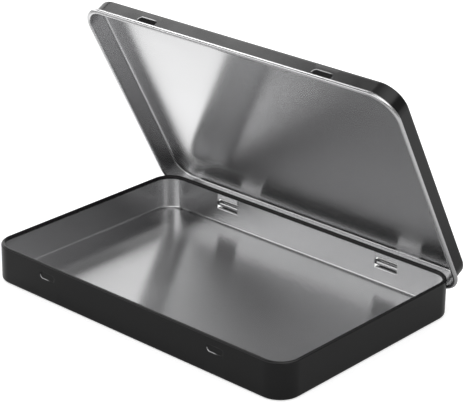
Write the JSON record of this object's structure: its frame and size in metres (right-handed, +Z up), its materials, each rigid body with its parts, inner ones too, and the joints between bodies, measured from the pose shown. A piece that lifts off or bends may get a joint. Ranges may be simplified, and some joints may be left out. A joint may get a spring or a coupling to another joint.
{
  "type": "hinged card game tin",
  "caption": "Flat rectangular hinged tin for a card game: shallow tray with inward curled rim, lid with outward curled rim turning in rolled tongues.",
  "frame": {"origin": "middle of the base tray's underside", "axes": "+Z up, +X along the hinge to the right as seen from the front, -Y towards the front"},
  "size_m": [0.1856, 0.1288, 0.1212],
  "materials": {
    "base_lacquer": "black satin lacquer outside, bare bright tinplate inside",
    "lid_lacquer": "black satin lacquer outside, bare bright tinplate inside and round the curl"
  },
  "bodies": {
    "base": {"base_tray": "base_lacquer"},
    "lid": {"lid": "lid_lacquer"}
  },
  "joints": [
    {"name": "lid_hinge", "type": "hinge", "parent": "base", "child": "lid", "pos_m": [0, 0.0617, 0.00975], "axis": [-1, 0, 0], "range_deg": [-61.5, 98.5]}
  ]
}
